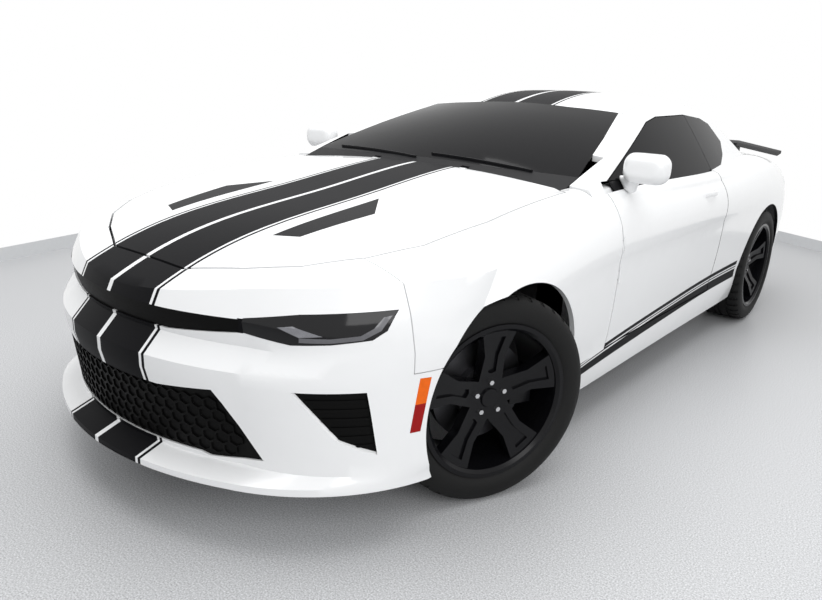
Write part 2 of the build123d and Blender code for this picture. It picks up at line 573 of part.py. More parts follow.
def knuckle(steered):
    """Upright, spindle and brake caliper about the same axle as the wheel."""
    upright = span((UPRIGHT_BACK, UPRIGHT_FRONT), (-42, 42), (-120, 150))
    upright += Rot(0, 90, 0) * Pos(0, 0, (HUB_FRONT - 14 + UPRIGHT_FRONT) / 2) * Cylinder(
        SPINDLE_RADIUS, HUB_FRONT - 14 - UPRIGHT_FRONT)
    caliper = span((-58, 32), (108, 190), (-60, 60))
    slot = Rot(0, 90, 0) * Cylinder(DISC_RADIUS + 7, 2 * (DISC_THICKNESS + 12))
    slot &= span((-36, 10), (-HALF, HALF), (-HALF, HALF))
    shape = upright + (caliper - slot) + span((UPRIGHT_BACK, -46), (30, 130), (-40, 40))
    if steered:
        for z in (-120, 110):
            shape -= Pos(-STEER_OFFSET, 0, z + 20) * Cylinder(STUD_RADIUS + RUNNING_CLEARANCE, 40)
    return largest(shape)


def build_running_gear():
    nodes = {}
    front = wheel_set(FRONT_TYRE_RADIUS, FRONT_TYRE_WIDTH)
    rear = wheel_set(REAR_TYRE_RADIUS, REAR_TYRE_WIDTH)
    front["knuckle"] = knuckle(True)
    for side, sign in (("left", 1), ("right", -1)):
        pivot = Pos(sign * (FRONT_TRACK / 2 - STEER_OFFSET), FRONT_AXLE_Y, FRONT_TYRE_RADIUS)
        place = pivot * Rot(0, 0, -PARKED_STEER) * Pos(sign * STEER_OFFSET, 0, 0)
        for kind, shape in front.items():
            base = shape if sign > 0 else mirrored(shape)
            nodes[f"{kind}_front_{side}"] = place * base
        rest = Pos(sign * REAR_TRACK / 2, REAR_AXLE_Y, REAR_TYRE_RADIUS)
        for kind, shape in rear.items():
            base = shape if sign > 0 else mirrored(shape)
            nodes[f"{kind}_rear_{side}"] = rest * base
    rear_knuckle = Pos(REAR_TRACK / 2, REAR_AXLE_Y, REAR_TYRE_RADIUS) * knuckle(False)
    nodes["knuckles_rear"] = joined(rear_knuckle, mirrored(rear_knuckle))

    # Front subframe with the arms that carry the steered uprights
    axis_x = FRONT_TRACK / 2 - STEER_OFFSET
    subframe = span((-RAIL_X[1] - 34, RAIL_X[1] + 34), (FRONT_AXLE_Y - 98, FRONT_AXLE_Y + 102), (190, ENGINE_BOTTOM_Z))
    for sign in (1, -1):
        tower = sorted((sign * RAIL_X[1], sign * (RAIL_X[1] + 34)))
        subframe += span(tower, (FRONT_AXLE_Y - 40, FRONT_AXLE_Y + 40), (190, 528))
        for low_z, stud_z in ((FRONT_TYRE_RADIUS - 120 - 26, 1), (FRONT_TYRE_RADIUS + 150 + 6, -1)):
            reach = sorted((sign * RAIL_X[1], sign * axis_x))
            subframe += span(reach, (FRONT_AXLE_Y - 18, FRONT_AXLE_Y + 18), (low_z, low_z + 20))
            subframe += Pos(sign * axis_x, FRONT_AXLE_Y, low_z + 10) * Cylinder(22, 20)
            subframe += Pos(sign * axis_x, FRONT_AXLE_Y, low_z + 10 + stud_z * 24) * Cylinder(STUD_RADIUS, 40)
    nodes["front_subframe"] = subframe

    # Rear subframe, final drive and shafts
    frame_rear = span((-470, 470), (REAR_AXLE_Y - 80, REAR_AXLE_Y + 80), (240, 300))
    frame_rear += span((-130, 130), (REAR_AXLE_Y - 130, REAR_AXLE_Y + 130), (300, 420))
    carrier = REAR_TRACK / 2 + UPRIGHT_BACK
    frame_rear += span((-carrier, carrier), (REAR_AXLE_Y - 30, REAR_AXLE_Y + 30), (250, 280))
    nodes["rear_subframe"] = frame_rear
    shaft_length = carrier - 130
    shaft = Pos(130 + shaft_length / 2, REAR_AXLE_Y, REAR_TYRE_RADIUS) * Rot(0, 90, 0) * Cylinder(17, shaft_length)
    engine_end = FIREWALL_Y - WALL - 5
    engine = span((-290, 290), (-1760, engine_end), (ENGINE_BOTTOM_Z, 800))
    engine += span((-110, 110), (engine_end, GEARBOX_END_Y), (ENGINE_BOTTOM_Z, 480))
    nodes["engine"] = engine
    drive_end = REAR_AXLE_Y - 130
    length = drive_end - GEARBOX_END_Y
    propshaft = Pos(0, (GEARBOX_END_Y + drive_end) / 2, 360) * Rot(90, 0, 0) * Cylinder(30, length)
    nodes["drive_shafts"] = joined(propshaft, shaft, mirrored(shaft))

    # Exhaust
    pipe = Pos(PIPE_X, 300, EXHAUST_Z) * Rot(90, 0, 0) * Cylinder(PIPE_RADIUS, 2400)
    bend = Vector(430 - PIPE_X, 330, 60)
    slant = Plane(origin=(PIPE_X, 1500, EXHAUST_Z), z_dir=bend)
    pipe += slant * Pos(0, 0, bend.length / 2) * Cylinder(PIPE_RADIUS, bend.length)
    pipe += Pos(PIPE_X, 1500, EXHAUST_Z) * Sphere(PIPE_RADIUS)
    muffler = span((310, 570), (1800, 2130), (225, 360))
    tip = Pos(EXHAUST_TIP_X, 2245, EXHAUST_TIP_Z) * Rot(90, 0, 0) * Cylinder(EXHAUST_TIP_RADIUS, 240)
    tip -= Pos(EXHAUST_TIP_X, 2300, EXHAUST_TIP_Z) * Rot(90, 0, 0) * Cylinder(EXHAUST_TIP_RADIUS - 4, 220)
    hanger = span((420, 460), (1950, 1990), (350, BOOT_FLOOR_Z))
    exhaust = pipe + muffler + tip + hanger
    nodes["exhaust"] = joined(exhaust, mirrored(exhaust))
    return nodes


def build_structure():
    nodes = {}
    base_z = FLOOR_Z + FLOOR_THICKNESS
    floor = span((-FLOOR_HALF, FLOOR_HALF), (FIREWALL_Y, FLOOR_STEP_Y), (FLOOR_Z, base_z))
    floor += span((-640, 640), (FIREWALL_Y, BULKHEAD_Y), (FLOOR_Z, base_z))
    floor += span((-TUNNEL_HALF, TUNNEL_HALF), (FIREWALL_Y, BULKHEAD_Y), (FLOOR_Z, TUNNEL_TOP_Z))
    tunnel = span((WALL - TUNNEL_HALF, TUNNEL_HALF - WALL), (-1500, BULKHEAD_Y + 2 * WALL), (0, TUNNEL_TOP_Z - WALL))
    nodes["floor_pan"] = floor - tunnel
    firewall = span((-700, 700), (FIREWALL_Y - WALL, FIREWALL_Y), (FLOOR_Z, 900))
    nodes["firewall"] = firewall - tunnel
    bulkhead = span((-BOOT_HALF, BOOT_HALF), (BULKHEAD_Y, BULKHEAD_Y + WALL), (FLOOR_Z, 930 - WALL)) - tunnel
    bulkhead += span((-BOOT_HALF, BOOT_HALF), (BULKHEAD_Y, 1560), (930 - WALL, 930))
    nodes["rear_bulkhead"] = bulkhead
    boot = span((-BOOT_HALF, BOOT_HALF), (BULKHEAD_Y + WALL, REAR_PANEL_Y), (BOOT_FLOOR_Z, BOOT_FLOOR_Z + WALL))
    boot += span((-BOOT_HALF, BOOT_HALF), (REAR_PANEL_Y - WALL, REAR_PANEL_Y), (BOOT_FLOOR_Z, 700))
    nodes["boot_floor"] = boot
    frame = span((-RAIL_X[1], RAIL_X[1]), BEAM_Y, RAIL_Z)
    frame += span((-RAIL_X[0], RAIL_X[0]), (-2156, -2080), (RADIATOR_Z[0] - SUPPORT_DEPTH, RADIATOR_Z[0]))
    for sign in (1, -1):
        rail = sorted((sign * RAIL_X[0], sign * RAIL_X[1]))
        frame += span(rail, (BEAM_Y[1], FIREWALL_Y - WALL), RAIL_Z)
        frame += span(rail, (-2156, -2080), (RADIATOR_Z[0] - SUPPORT_DEPTH, RAIL_Z[1]))
    nodes["front_rails"] = frame
    nodes["radiator"] = span((-350, 350), (-2150, -2100), RADIATOR_Z)

    dash_outline = [(-950, 900), (-700, 955), (-560, 945), (-480, 880), (-520, 700), (-700, 640), (-950, 640)]
    dash = prism(dash_outline, SIDE, (-PILLAR_INNER_X, PILLAR_INNER_X))
    wheel_plane = Plane(origin=STEERING_WHEEL_AT, x_dir=(1, 0, 0), z_dir=(0, 1, 0.42))
    column = wheel_plane * Pos(0, 0, -160) * Cylinder(26, 320)
    rim = wheel_plane * (Cylinder(192, 26) - Cylinder(164, 26))
    hub = wheel_plane * Cylinder(62, 36)
    bars = [wheel_plane * Rot(0, 0, a) * Pos(95, 0, 0) * Box(150, 34, 16) for a in (0, 180, 270)]
    nodes["steering_wheel"] = rim + hub + bars + column
    nodes["dashboard"] = dash - wheel_plane * Pos(0, 0, -160) * Cylinder(26 + RUNNING_CLEARANCE, 322)

    cushion = chamfer(Box(SEAT_WIDTH, 530, 130).edges(), 25)
    back = chamfer(Box(SEAT_WIDTH, 130, 640).edges(), 25)
    rest = chamfer(Box(260, 90, 170).edges(), 20)
    stand = Box(300, 380, 110, align=(Align.CENTER, Align.CENTER, Align.MIN))
    seat = Pos(SEAT_X, 30, base_z) * stand + Pos(SEAT_X, 20, base_z + 165) * cushion
    lean = Pos(SEAT_X, 275, base_z + 150) * Rot(-18, 0, 0)
    seat = seat + lean * Pos(0, 0, 330) * back + lean * Pos(0, 0, 700) * rest
    seat += lean * Pos(0, 0, 620) * Box(120, 40, 120)
    nodes["front_seats"] = joined(seat, mirrored(seat))
    bench = span((-545, 545), (690, 1120), (base_z, 430))
    bench = bench - span((-TUNNEL_HALF - 5, TUNNEL_HALF + 5), (600, 1200), (0, TUNNEL_TOP_Z + 5))
    bench += span((-545, 545), (1000, BULKHEAD_Y), (430, 860)) - span(
        (-TUNNEL_HALF - 5, TUNNEL_HALF + 5), (600, 1200), (0, TUNNEL_TOP_Z + 5))
    nodes["rear_seat"] = bench
    return nodes


os.makedirs("parts", exist_ok=True)
nodes = {**build_body(), **build_running_gear(), **build_structure()}
for left_name in ("fender_left", "door_left", "door_glass_left", "mirror_left", "body_side_left"):
    nodes[left_name.replace("left", "right")] = mirrored(nodes[left_name])
for name, shape in nodes.items():
    export_step(shape, f"parts/{name}.step")
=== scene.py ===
"""Looks of a white two-door muscle car with black racing stripes.

It stands in a pale studio with its front wheels turned.
"""

import json
from math import cos, pi, radians, sin, sqrt

import bmesh
import bpy
from mathutils import Matrix, Vector
from mathutils.bvhtree import BVHTree


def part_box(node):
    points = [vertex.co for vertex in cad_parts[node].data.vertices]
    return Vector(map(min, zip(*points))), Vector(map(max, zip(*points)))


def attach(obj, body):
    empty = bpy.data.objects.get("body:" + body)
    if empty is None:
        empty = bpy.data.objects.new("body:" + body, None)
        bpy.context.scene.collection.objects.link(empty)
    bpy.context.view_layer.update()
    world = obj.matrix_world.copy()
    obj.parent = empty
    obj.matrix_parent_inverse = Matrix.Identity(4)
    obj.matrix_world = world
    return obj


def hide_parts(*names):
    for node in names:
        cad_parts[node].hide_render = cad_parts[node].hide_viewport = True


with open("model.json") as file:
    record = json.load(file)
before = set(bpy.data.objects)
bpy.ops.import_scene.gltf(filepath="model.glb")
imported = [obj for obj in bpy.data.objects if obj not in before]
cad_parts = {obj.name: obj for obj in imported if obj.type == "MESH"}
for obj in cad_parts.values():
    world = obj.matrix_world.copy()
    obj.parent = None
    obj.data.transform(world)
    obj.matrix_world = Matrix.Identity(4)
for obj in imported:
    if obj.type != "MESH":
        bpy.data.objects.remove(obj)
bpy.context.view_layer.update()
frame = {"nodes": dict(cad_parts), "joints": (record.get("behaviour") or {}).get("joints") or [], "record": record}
nodes = frame["nodes"]
bodies = frame["record"]["behaviour"]["bodies"]
body_of = {node: body for body, members in bodies.items() for node in members}
slot_of = {part["node"]: part["material_slot"] for part in frame["record"]["subparts"]}
joints = {joint["name"]: joint for joint in frame["joints"]}

# Camera, as the photograph was taken
CAMERA_AT = (1.9416, -3.2380, 1.2700)
CAMERA_RIGHT = (0.7610, 0.6474, 0.0427)
CAMERA_UP = (-0.2167, 0.1915, 0.9573)
LENS_MM = 29.84
SENSOR_MM = 36
CLIP_END = 200

SIDES = (("left", 1), ("right", -1))
CORNERS = ("front_left", "front_right", "rear_left", "rear_right")
CAR_MIDDLE = (0, 0, 0.6)    # the outside of a panel faces away from here

# Racing stripes, half widths from the middle of the car
STRIPE_LINE = 0.010         # white line down the middle
STRIPE_BAND = 0.200         # outer edge of each broad black band
STRIPE_PIN = (0.210, 0.221)  # thin black line outside it

# Black web between the upper slot and each headlamp
LAMP_WEB_X = (0.4835, 0.4975)
LAMP_WEB_Z = (0.6405, 0.6825)

# Rocker stripe: y of its two ends, and its lower and upper edge there
ROCKER_ENDS = (-1.05, 0.93)
ROCKER_LOW = (0.272, 0.346)
ROCKER_HIGH = (0.340, 0.445)
ROCKER_BANDS = ((0.0, 0.52), (0.60, 0.68), (0.76, 1.0))  # black bands, as shares of its height
ROCKER_X = 0.84             # the stripe lies outside this

MARKER_SPLIT_Z = 0.446      # the corner markers are red below this
TAIL_PIPE_Y = 2.2           # the exhaust is bright behind this

WHITE = (0.84, 0.845, 0.85)
BLACK = (0.005, 0.005, 0.006)
COAT = 0.6                  # clear coat over white paint; the stripes are satin
SATIN = 0.46                # roughness of the stripes
PAINT_SHINE = 0.5
STRIPE_SHINE = 0.05
GRAIN_DEPTH = 0.001


# Shader groups

def new_group(name, inputs, outputs):
    """An empty shader group with named sockets, and its two end nodes."""
    group = bpy.data.node_groups.new(name, "ShaderNodeTree")
    for label, kind, default in inputs:
        socket = group.interface.new_socket(name=label, in_out="INPUT", socket_type=kind)
        socket.default_value = default
    for label, kind in outputs:
        group.interface.new_socket(name=label, in_out="OUTPUT", socket_type=kind)
    return group, group.nodes.new("NodeGroupInput"), group.nodes.new("NodeGroupOutput")


def add_math(tree, operation, first, second):
    """A maths node whose inputs are sockets or numbers; returns its result."""
    node = tree.nodes.new("ShaderNodeMath")
    node.operation = operation
    for socket, value in zip(node.inputs, (first, second)):
        if isinstance(value, (int, float)):
            socket.default_value = value
        else:
            tree.links.new(value, socket)
    return node.outputs[0]


def between(tree, value, low, high):
    """1 where the value lies between two limits, else 0."""
    above = add_math(tree, "GREATER_THAN", value, low)
    below = add_math(tree, "LESS_THAN", value, high)
    return add_math(tree, "MULTIPLY", above, below)


def graded(tree, share, ends):
    """The value at a share of the way from one end to the other."""
    return add_math(tree, "ADD", add_math(tree, "MULTIPLY", share, ends[1] - ends[0]), ends[0])


def object_axes(tree):
    """The x, y and z sockets of Object coordinates."""
    place = tree.nodes.new("ShaderNodeTexCoord")
    split = tree.nodes.new("ShaderNodeSeparateXYZ")
    tree.links.new(place.outputs["Object"], split.inputs[0])
    return split.outputs


def faces_out(tree):
    """1 where a surface faces away from the middle of the car, else 0."""
    place = tree.nodes.new("ShaderNodeTexCoord")
    offset = tree.nodes.new("ShaderNodeVectorMath")
    offset.operation = "SUBTRACT"
    offset.inputs[1].default_value = CAR_MIDDLE
    tree.links.new(place.outputs["Object"], offset.inputs[0])
    lean = tree.nodes.new("ShaderNodeVectorMath")
    lean.operation = "DOT_PRODUCT"
    tree.links.new(offset.outputs[0], lean.inputs[0])
    tree.links.new(place.outputs["Normal"], lean.inputs[1])
    return add_math(tree, "GREATER_THAN", lean.outputs["Value"], 0.0)


def make_mottle():
    """Slight change of colour and roughness over a surface, as in paint, plastic and rubber."""
    group, start, end = new_group(
        "mottle",
        [("Colour", "NodeSocketColor", (0.5, 0.5, 0.5, 1)), ("Roughness", "NodeSocketFloat", 0.5),
         ("Scale", "NodeSocketFloat", 40.0), ("Amount", "NodeSocketFloat", 0.1)],
        [("Colour", "NodeSocketColor"), ("Roughness", "NodeSocketFloat"), ("Height", "NodeSocketFloat")])
    place = group.nodes.new("ShaderNodeTexCoord")
    noise = group.nodes.new("ShaderNodeTexNoise")
    noise.inputs["Detail"].default_value = 4
    group.links.new(place.outputs["Object"], noise.inputs["Vector"])
    group.links.new(start.outputs["Scale"], noise.inputs["Scale"])
    centred = add_math(group, "SUBTRACT", noise.outputs["Fac"], 0.5)
    swing = add_math(group, "MULTIPLY", centred, start.outputs["Amount"])
    factor = add_math(group, "ADD", swing, 1.0)
    tint = group.nodes.new("ShaderNodeVectorMath")
    tint.operation = "SCALE"
    group.links.new(start.outputs["Colour"], tint.inputs[0])
    group.links.new(factor, tint.inputs["Scale"])
    group.links.new(tint.outputs[0], end.inputs["Colour"])
    rough = add_math(group, "MULTIPLY", start.outputs["Roughness"], factor)
    group.links.new(rough, end.inputs["Roughness"])
    group.links.new(noise.outputs["Fac"], end.inputs["Height"])
    return group


def make_stripes(name, lined):
    """Mask of the racing stripes outside and of the lamp webs, and of the inside if it is lined."""
    group, _, end = new_group(name, [], [("Mask", "NodeSocketFloat")])
    axes = object_axes(group)
    across = add_math(group, "ABSOLUTE", axes["X"], 0)
    band = between(group, across, STRIPE_LINE, STRIPE_BAND)
    pin = between(group, across, *STRIPE_PIN)
    out = faces_out(group)
    outside = add_math(group, "MULTIPLY", add_math(group, "ADD", band, pin), out)
    web_width = between(group, across, *LAMP_WEB_X)
    web_height = between(group, axes["Z"], *LAMP_WEB_Z)
    web = add_math(group, "MULTIPLY", web_width, web_height)
    nose_web = add_math(group, "MULTIPLY", web, add_math(group, "LESS_THAN", axes["Y"], 0))
    mask = add_math(group, "MAXIMUM", outside, nose_web)
    if lined:
        mask = add_math(group, "MAXIMUM", mask, add_math(group, "SUBTRACT", 1.0, out))
    group.links.new(mask, end.inputs["Mask"])
    return group


def make_rocker_stripe():
    """Mask of the black inside, and of the stripe with two white lines above the sill, wider to the rear."""
    group, _, end = new_group("rocker_stripe", [], [("Mask", "NodeSocketFloat")])
    axes = object_axes(group)
    length = ROCKER_ENDS[1] - ROCKER_ENDS[0]
    along = add_math(group, "DIVIDE", add_math(group, "SUBTRACT", axes["Y"], ROCKER_ENDS[0]), length)
    low = graded(group, along, ROCKER_LOW)
    high = graded(group, along, ROCKER_HIGH)
    height = add_math(group, "SUBTRACT", high, low)
    share = add_math(group, "DIVIDE", add_math(group, "SUBTRACT", axes["Z"], low), height)
    mask = between(group, share, *ROCKER_BANDS[0])
    for limits in ROCKER_BANDS[1:]:
        mask = add_math(group, "ADD", mask, between(group, share, *limits))
    mask = add_math(group, "MULTIPLY", mask, between(group, along, 0.0, 1.0))
    outer = add_math(group, "GREATER_THAN", add_math(group, "ABSOLUTE", axes["X"], 0), ROCKER_X)
    inside = add_math(group, "SUBTRACT", 1.0, faces_out(group))
    stripe = add_math(group, "MULTIPLY", mask, outer)
    group.links.new(add_math(group, "MAXIMUM", stripe, inside), end.inputs["Mask"])
    return group


def make_end_mask(name, axis, operation, limit):
    """Mask of one end of a piece, past a limit along an axis."""
    group, _, end = new_group(name, [], [("Mask", "NodeSocketFloat")])
    group.links.new(add_math(group, operation, object_axes(group)[axis], limit), end.inputs["Mask"])
    return group


MARKER_FOOT = make_end_mask("marker_foot", "Z", "LESS_THAN", MARKER_SPLIT_Z)
TAIL_PIPE = make_end_mask("tail_pipe", "Y", "GREATER_THAN", TAIL_PIPE_Y)
MOTTLE = make_mottle()
STRIPES = make_stripes("racing_stripes", False)
LINED_STRIPES = make_stripes("lined_stripes", True)
ROCKER_STRIPE = make_rocker_stripe()


# Finishes: colour and roughness, then the scale and amount of their mottle and the strength of its relief

def finish(name, colour, roughness, scale=40.0, amount=0.1, bump=0.0, mask=None, second=BLACK, satin=False,
           **sockets):
    """A Principled finish with mottled colour and roughness, in a second colour where a mask group is 1."""
    material = bpy.data.materials.new(name)
    material.use_nodes = True
    tree = material.node_tree
    shader = tree.nodes["Principled BSDF"]
    mottle = tree.nodes.new("ShaderNodeGroup")
    mottle.node_tree = MOTTLE
    mottle.inputs["Colour"].default_value = (*colour, 1)
    mottle.inputs["Roughness"].default_value = roughness
    mottle.inputs["Scale"].default_value = scale
    mottle.inputs["Amount"].default_value = amount
    colour_out, rough_out = mottle.outputs["Colour"], mottle.outputs["Roughness"]
    if mask:
        part = tree.nodes.new("ShaderNodeGroup")
        part.node_tree = mask
        share = part.outputs["Mask"]
        paint = tree.nodes.new("ShaderNodeMix")
        paint.data_type = "RGBA"
        paint.inputs["B"].default_value = (*second, 1)
        tree.links.new(share, paint.inputs["Factor"])
        tree.links.new(colour_out, paint.inputs["A"])
        colour_out = paint.outputs["Result"]
    if satin:
        rough_out = add_math(tree, "ADD", rough_out, add_math(tree, "MULTIPLY", share, SATIN - roughness))
        bare = add_math(tree, "SUBTRACT", 1.0, share)
        tree.links.new(add_math(tree, "MULTIPLY", bare, COAT), shader.inputs["Coat Weight"])
        shine = add_math(tree, "MAXIMUM", add_math(tree, "MULTIPLY", bare, PAINT_SHINE), STRIPE_SHINE)
        tree.links.new(shine, shader.inputs["Specular IOR Level"])
    tree.links.new(colour_out, shader.inputs["Base Color"])
    tree.links.new(rough_out, shader.inputs["Roughness"])
    if bump:
        relief = tree.nodes.new("ShaderNodeBump")
        relief.inputs["Strength"].default_value = bump
        relief.inputs["Distance"].default_value = GRAIN_DEPTH
        tree.links.new(mottle.outputs["Height"], relief.inputs["Height"])
        tree.links.new(relief.outputs["Normal"], shader.inputs["Normal"])
    for label, value in sockets.items():
        shader.inputs[label.replace("_", " ")].default_value = value
    return material


PAINT = (WHITE, 0.22, 6, 0.02)
white_paint = finish("white_paint", *PAINT, Coat_Weight=COAT, Coat_Roughness=0.04)
striped_paint = finish("striped_paint", *PAINT, mask=STRIPES, satin=True, Coat_Roughness=0.05)
roof_paint = finish("roof_paint", *PAINT, mask=LINED_STRIPES, satin=True, Coat_Roughness=0.05)
side_paint = finish("side_paint", *PAINT, mask=ROCKER_STRIPE, satin=True, Coat_Roughness=0.04)
tinted_glass = finish("tinted_glass", (0.010, 0.010, 0.011), 0.05, 3, 0.04, Transmission_Weight=0.22,
                      Specular_IOR_Level=0.1, IOR=1.2)
lamp_glass = finish("lamp_glass", (0.008, 0.008, 0.009), 0.08, 12, 0.2, Specular_IOR_Level=0.3)
tail_red = finish("tail_red", (0.30, 0.006, 0.006), 0.12, 30, 0.2, Coat_Weight=0.8)
marker_lens = finish("marker_lens", (0.80, 0.13, 0.004), 0.3, 60, 0.3, mask=MARKER_FOOT,
                     second=(0.30, 0.003, 0.003), Coat_Weight=0.1, Specular_IOR_Level=0.15)
black_trim = finish("black_trim", BLACK, 0.45, 220, 0.3, 0.05, Specular_IOR_Level=0.1)
# Black of the grille cells and slats, and of the plates behind them: the plates fill the grille and duct openings,
# so their near-black there is painted shade of the hollows behind
grille_black_and_shade = finish("grille_black_and_shade", (0.002, 0.002, 0.002), 0.5, 90, 0.3, Specular_IOR_Level=0.08)
gloss_black = finish("gloss_black", (0.004, 0.004, 0.005), 0.22, 90, 0.2, Specular_IOR_Level=0.2)
cabin_black = finish("cabin_black", (0.020, 0.020, 0.021), 0.6, 300, 0.4, 0.15)
hide = finish("seat_leather", (0.018, 0.018, 0.019), 0.5, 260, 0.35, 0.2)
underside = finish("underside_black", (0.03, 0.03, 0.031), 0.7, 60, 0.5, 0.1)
cast_metal = finish("cast_metal", (0.20, 0.20, 0.21), 0.5, 120, 0.4, 0.15, Metallic=0.9)
disc_iron = finish("disc_iron", (0.07, 0.07, 0.075), 0.42, 200, 0.3, 0.05, Metallic=1.0)
bright_steel = finish("bright_steel", (0.62, 0.62, 0.63), 0.2, 150, 0.2, Metallic=1.0)
exhaust_steel = finish("exhaust_steel", (0.06, 0.06, 0.062), 0.45, 60, 0.4, mask=TAIL_PIPE,
                       second=(0.6, 0.6, 0.61), Metallic=1.0)
lamp_grey = finish("lamp_grey", (0.10, 0.10, 0.11), 0.25, 90, 0.3, Coat_Weight=0.8)
lamp_silver = finish("lamp_silver", (0.30, 0.30, 0.32), 0.2, 60, 0.5, Metallic=0.8)
mirror_silver = finish("mirror_silver", (0.72, 0.74, 0.76), 0.03, 8, 0.03, Metallic=1.0)
tyre_rubber = finish("tyre_rubber", (0.007, 0.007, 0.007), 0.65, 160, 0.4, 0.1, Specular_IOR_Level=0.2)
radiator_fins = finish("radiator_fins", (0.08, 0.08, 0.082), 0.55, 400, 0.5, 0.3, Metallic=0.6)

FINISH_OF_SLOT = {
    "paint": white_paint, "glass": tinted_glass, "lamp_lens": lamp_glass, "tail_lens": tail_red,
    "marker_lens": marker_lens, "black_plastic": black_trim, "cabin_plastic": cabin_black,
    "upholstery": hide, "structure": underside, "engine_metal": cast_metal, "radiator_metal": radiator_fins,
    "exhaust_steel": exhaust_steel, "wheel_black": gloss_black, "tyre": tyre_rubber, "disc_iron": disc_iron,
}
FINISH_OF_NODE = {
    "hood": striped_paint, "roof": roof_paint, "decklid": striped_paint, "front_fascia": striped_paint,
    "deck_panel": striped_paint, "rear_fascia": striped_paint,
    "door_left": side_paint, "door_right": side_paint,
    "body_side_left": side_paint, "body_side_right": side_paint,
    "knuckle_front_left": gloss_black, "knuckle_front_right": gloss_black,
    # the grille and duct plates fill their openings: their near-black is painted shade of the hollows behind them
    "lower_grille": grille_black_and_shade, "side_ducts": grille_black_and_shade, "upper_grille": grille_black_and_shade,
}


# Pieces

WELD = 2e-5                 # corners of a CAD mesh nearer than this are one
ROUNDED = {"mirror_left", "mirror_right"}  # moulded housings with soft edges
ROUND_CELL = 0.012          # longest edge before they are rounded
ROUND_SPLITS = 4
ROUND_PASSES = 14
ROUND_PULL = 0.5            # how far a pass moves a corner to the middle of those round it

# Where the lines start that are cast onto the car, clear of it
AHEAD_Y = -3
BESIDE_X = 2
ABOVE_Z = 2

BAR_CORNERS = ((-1, -1), (1, -1), (1, 1), (-1, 1))
UP = Vector((0, 0, 1))


def new_object(name, data):
    """A new object in the scene."""
    thing = bpy.data.objects.new(name, data)
    bpy.context.scene.collection.objects.link(thing)
    return thing


def add_piece(name, mesh, material, body):
    """A piece of the car in one finish, on its body."""
    piece = new_object(name, mesh)
    mesh.materials.clear()
    mesh.materials.append(material)
    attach(piece, body)
    return piece


def end_mesh(form, name):
    """Ends a bmesh as a mesh."""
    mesh = bpy.data.meshes.new(name)
    form.to_mesh(mesh)
    form.free()
    return mesh


def close_form(form, name, smooth_below=35):
    """Ends a bmesh as a mesh that is smooth but for its sharp edges."""
    for face in form.faces:
        face.smooth = True
    for edge in form.edges:
        edge.smooth = len(edge.link_faces) == 2 and edge.calc_face_angle(pi) < radians(smooth_below)
    return end_mesh(form, name)


def end_form(form, name, material, body, smooth_below=35):
    """Ends a bmesh as a piece of the car."""
    bmesh.ops.recalc_face_normals(form, faces=form.faces)
    return add_piece(name, close_form(form, name, smooth_below), material, body)


def round_off(form):
    """Wears the edges of a moulded housing round."""
    for _ in range(ROUND_SPLITS):
        long = [edge for edge in form.edges if edge.calc_length() > ROUND_CELL]
        bmesh.ops.subdivide_edges(form, edges=long, cuts=1, use_grid_fill=True)
        bmesh.ops.triangulate(form, faces=form.faces)
    for _ in range(ROUND_PASSES):
        bmesh.ops.smooth_vert(form, verts=form.verts, factor=ROUND_PULL, use_axis_x=True, use_axis_y=True,
                              use_axis_z=True)


def round_edges(form, width, segments):
    """Bevels every edge of a form."""
    bmesh.ops.bevel(form, geom=form.edges[:], offset=width, offset_type="OFFSET", segments=segments,
                    profile=0.5, affect="EDGES", material=-1)


def dress(node):
    """A welded and smoothed copy of a CAD node, in its own finish, that stands for it."""
    form = bmesh.new()
    form.from_mesh(nodes[node].data)
    bmesh.ops.remove_doubles(form, verts=form.verts, dist=WELD)
    if node in ROUNDED:
        round_off(form)
    mesh = close_form(form, node + "_dressed")
    material = FINISH_OF_NODE.get(node, FINISH_OF_SLOT[slot_of[node]])
    piece = add_piece(node + "_dressed", mesh, material, body_of[node])
    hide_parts(node)


def surface_of(*names):
    """The faces of CAD nodes as a tree, for setting small pieces on them."""
    points, faces = [], []
    for name in names:
        mesh = nodes[name].data
        faces += [[len(points) + index for index in face.vertices] for face in mesh.polygons]
        points += [vertex.co.copy() for vertex in mesh.vertices]
    return BVHTree.FromPolygons(points, faces)


def met_from(tree, start, heading, lift=0.0):
    """The point where a line meets a surface, drawn back along the line by a lift."""
    heading = Vector(heading)
    place = tree.ray_cast(Vector(start), heading)[0]
    return place and place - heading * lift


def ahead_of(tree, x, z, lift=0.0):
    """The point of a surface that is seen at x and z from ahead of the car."""
    return met_from(tree, (x, AHEAD_Y, z), (0, 1, 0), lift)


def join_rings(form, ring, following):
    """Faces between two rings of as many vertices."""
    for index in range(len(ring)):
        after = (index + 1) % len(ring)
        form.faces.new((ring[index], ring[after], following[after], following[index]))


def sweep(form, centres, up, out, half_height, half_depth):
    """A bar of oblong section along a row of points."""
    rings = []
    for centre in centres:
        rings.append([form.verts.new(centre + up * half_height * a + out * half_depth * b)
                      for a, b in BAR_CORNERS])
    for ring, following in zip(rings, rings[1:]):
        join_rings(form, ring, following)
    form.faces.new(rings[0][::-1])
    form.faces.new(rings[-1])


def mirror_form(form):
    """Adds the right-hand half of a form that was made on the left."""
    copy = bmesh.ops.duplicate(form, geom=form.verts[:] + form.edges[:] + form.faces[:])["geom"]
    verts = [part for part in copy if isinstance(part, bmesh.types.BMVert)]
    bmesh.ops.scale(form, vec=(-1, 1, 1), verts=verts)


# Nose

HEX_PITCH = 0.040           # from one grille cell to the next
HEX_WALL = 0.17             # share of a cell's radius that its wall takes
CELL_STAND = 0.005          # cell walls and slats stand this far out of their plates
CELL_SINK = 0.001           # and the walls reach this far into them
CELL_WELD = 1e-5

DUCT_SPACES = 7             # spaces between the slats of a duct
SLAT_FROM_X = 0.62
SLAT_STEP = 0.008
SLAT_STEPS = 26
SLAT_HALF = 0.004

